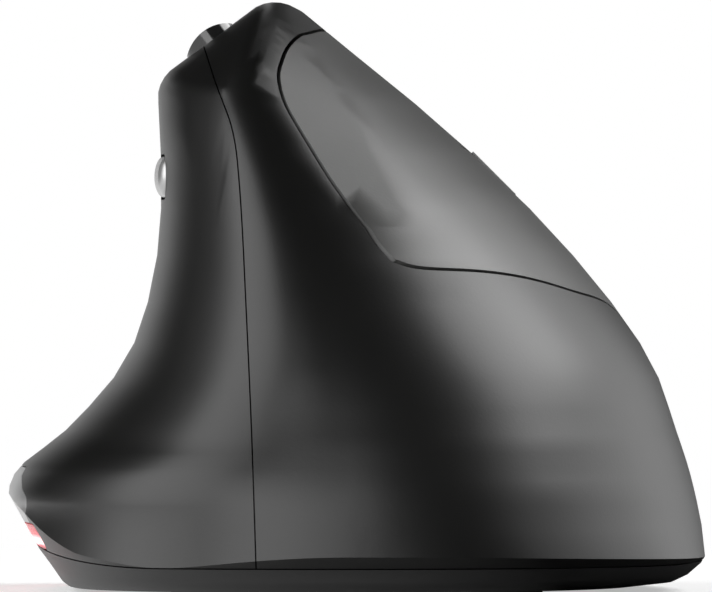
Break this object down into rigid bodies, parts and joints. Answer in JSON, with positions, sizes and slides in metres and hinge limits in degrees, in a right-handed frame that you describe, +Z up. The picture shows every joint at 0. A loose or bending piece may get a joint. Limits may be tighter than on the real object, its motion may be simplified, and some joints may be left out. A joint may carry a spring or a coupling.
{
  "type": "vertical ergonomic mouse",
  "caption": "Right-handed vertical mouse: upright grip body with a thumb rest, two finger keys beside a scroll wheel, thumb keys, a lit strip and a battery bay underneath.",
  "frame": {"origin": "on the desk, under the middle of the overall box", "axes": "+X to the finger side, +Y from the wrist to the fingertips, +Z up"},
  "size_m": [0.0799, 0.1199, 0.0672],
  "materials": {
    "soft_touch": "soft-touch black",
    "satin_panel": "satin dark grey",
    "base_plastic": "fine textured black",
    "silver_paint": "satin silver paint",
    "gloss_black": "gloss",
    "tyre_rubber": "matt",
    "red_light": "translucent red light guide",
    "white_plastic": "moulded",
    "dark_plastic": "moulded",
    "board_green": "solder mask",
    "chip_black": "moulded",
    "steel": "zinc plated",
    "spring_steel": "nickel plated",
    "foot_tape": "low-friction pad",
    "battery_wrap": "plain printed wrap",
    "clear_lens": "clear",
    "led_white": "clear epoxy"
  },
  "bodies": {
    "case": {"thumb_cover": "soft_touch", "palm_cover": "soft_touch", "finger_panel": "satin_panel", "left_switch": "dark_plastic", "right_switch": "dark_plastic", "middle_switch": "dark_plastic", "wheel_emitter": "led_white", "wheel_detector": "chip_black", "finger_board": "board_green", "inner_frame": "dark_plastic", "frame_screws": "steel", "deck_screws": "steel", "thumb_trim": "silver_paint", "light_strip": "red_light", "back_switch": "dark_plastic", "forward_switch": "dark_plastic", "thumb_board": "board_green", "thumb_screws": "steel", "dpi_switch": "dark_plastic", "dpi_board": "board_green", "dpi_screws": "steel", "base_tray": "base_plastic", "batteries": "battery_wrap", "rear_contacts": "spring_steel", "front_contacts": "spring_steel", "main_board": "board_green", "board_screws": "steel", "sensor_chip": "chip_black", "sensor_lens": "clear_lens", "controller_chip": "chip_black", "power_switch": "dark_plastic", "case_screws": "steel", "front_feet": "foot_tape", "rear_feet": "foot_tape", "led_board": "board_green", "leds": "led_white"},
    "left_key": {"left_button": "satin_panel", "left_plunger": "white_plastic"},
    "right_key": {"right_button": "satin_panel", "right_plunger": "white_plastic"},
    "wheel_carriage": {"wheel_cradle": "white_plastic", "middle_plunger": "white_plastic"},
    "scroll_wheel": {"wheel_hub": "dark_plastic", "wheel_tyre": "tyre_rubber", "wheel_axle": "steel"},
    "dpi_key": {"dpi_button": "gloss_black", "dpi_plunger": "white_plastic"},
    "back_key": {"back_button": "silver_paint", "back_plunger": "white_plastic"},
    "forward_key": {"forward_button": "silver_paint", "forward_plunger": "white_plastic"},
    "power_knob": {"power_slider": "silver_paint"},
    "door": {"battery_door": "base_plastic"}
  },
  "joints": [
    {"name": "left_press", "type": "hinge", "parent": "case", "child": "left_key", "pos_m": [0.00561, 0.0095, 0.05428], "axis": [-0.7071, 0, 0.7071], "range_deg": [0, 1.3], "stiffness_Nm_per_rad": 1.2, "springref_deg": -0.57},
    {"name": "right_press", "type": "hinge", "parent": "case", "child": "right_key", "pos_m": [0.02258, 0.0095, 0.03731], "axis": [-0.7071, 0, 0.7071], "range_deg": [0, 1.3], "stiffness_Nm_per_rad": 1.2, "springref_deg": -0.57},
    {"name": "wheel_click", "type": "slide", "parent": "case", "child": "wheel_carriage", "axis": [-0.7071, 0, -0.7071], "range_m": [0, 0.0006], "stiffness_N_per_m": 800, "springref_m": -0.0004},
    {"name": "wheel_spin", "type": "hinge", "parent": "wheel_carriage", "child": "scroll_wheel", "pos_m": [0.00886, 0.032, 0.04056], "axis": [-0.7071, 0, 0.7071], "continuous": true},
    {"name": "dpi_press", "type": "slide", "parent": "case", "child": "dpi_key", "axis": [0.5948, -0.0441, -0.8027], "range_m": [0, 0.0004], "stiffness_N_per_m": 600, "springref_m": -0.0003},
    {"name": "back_press", "type": "slide", "parent": "case", "child": "back_key", "axis": [1, 0, 0], "range_m": [0, 0.0005], "stiffness_N_per_m": 600, "springref_m": -0.0003},
    {"name": "forward_press", "type": "slide", "parent": "case", "child": "forward_key", "axis": [1, 0, 0], "range_m": [0, 0.0005], "stiffness_N_per_m": 600, "springref_m": -0.0003},
    {"name": "power_slide", "type": "slide", "parent": "case", "child": "power_knob", "axis": [0, 1, 0], "range_m": [0, 0.003]},
    {"name": "door_lift", "type": "slide", "parent": "case", "child": "door", "axis": [0, 0, -1], "range_m": [0, 0.014]}
  ]
}
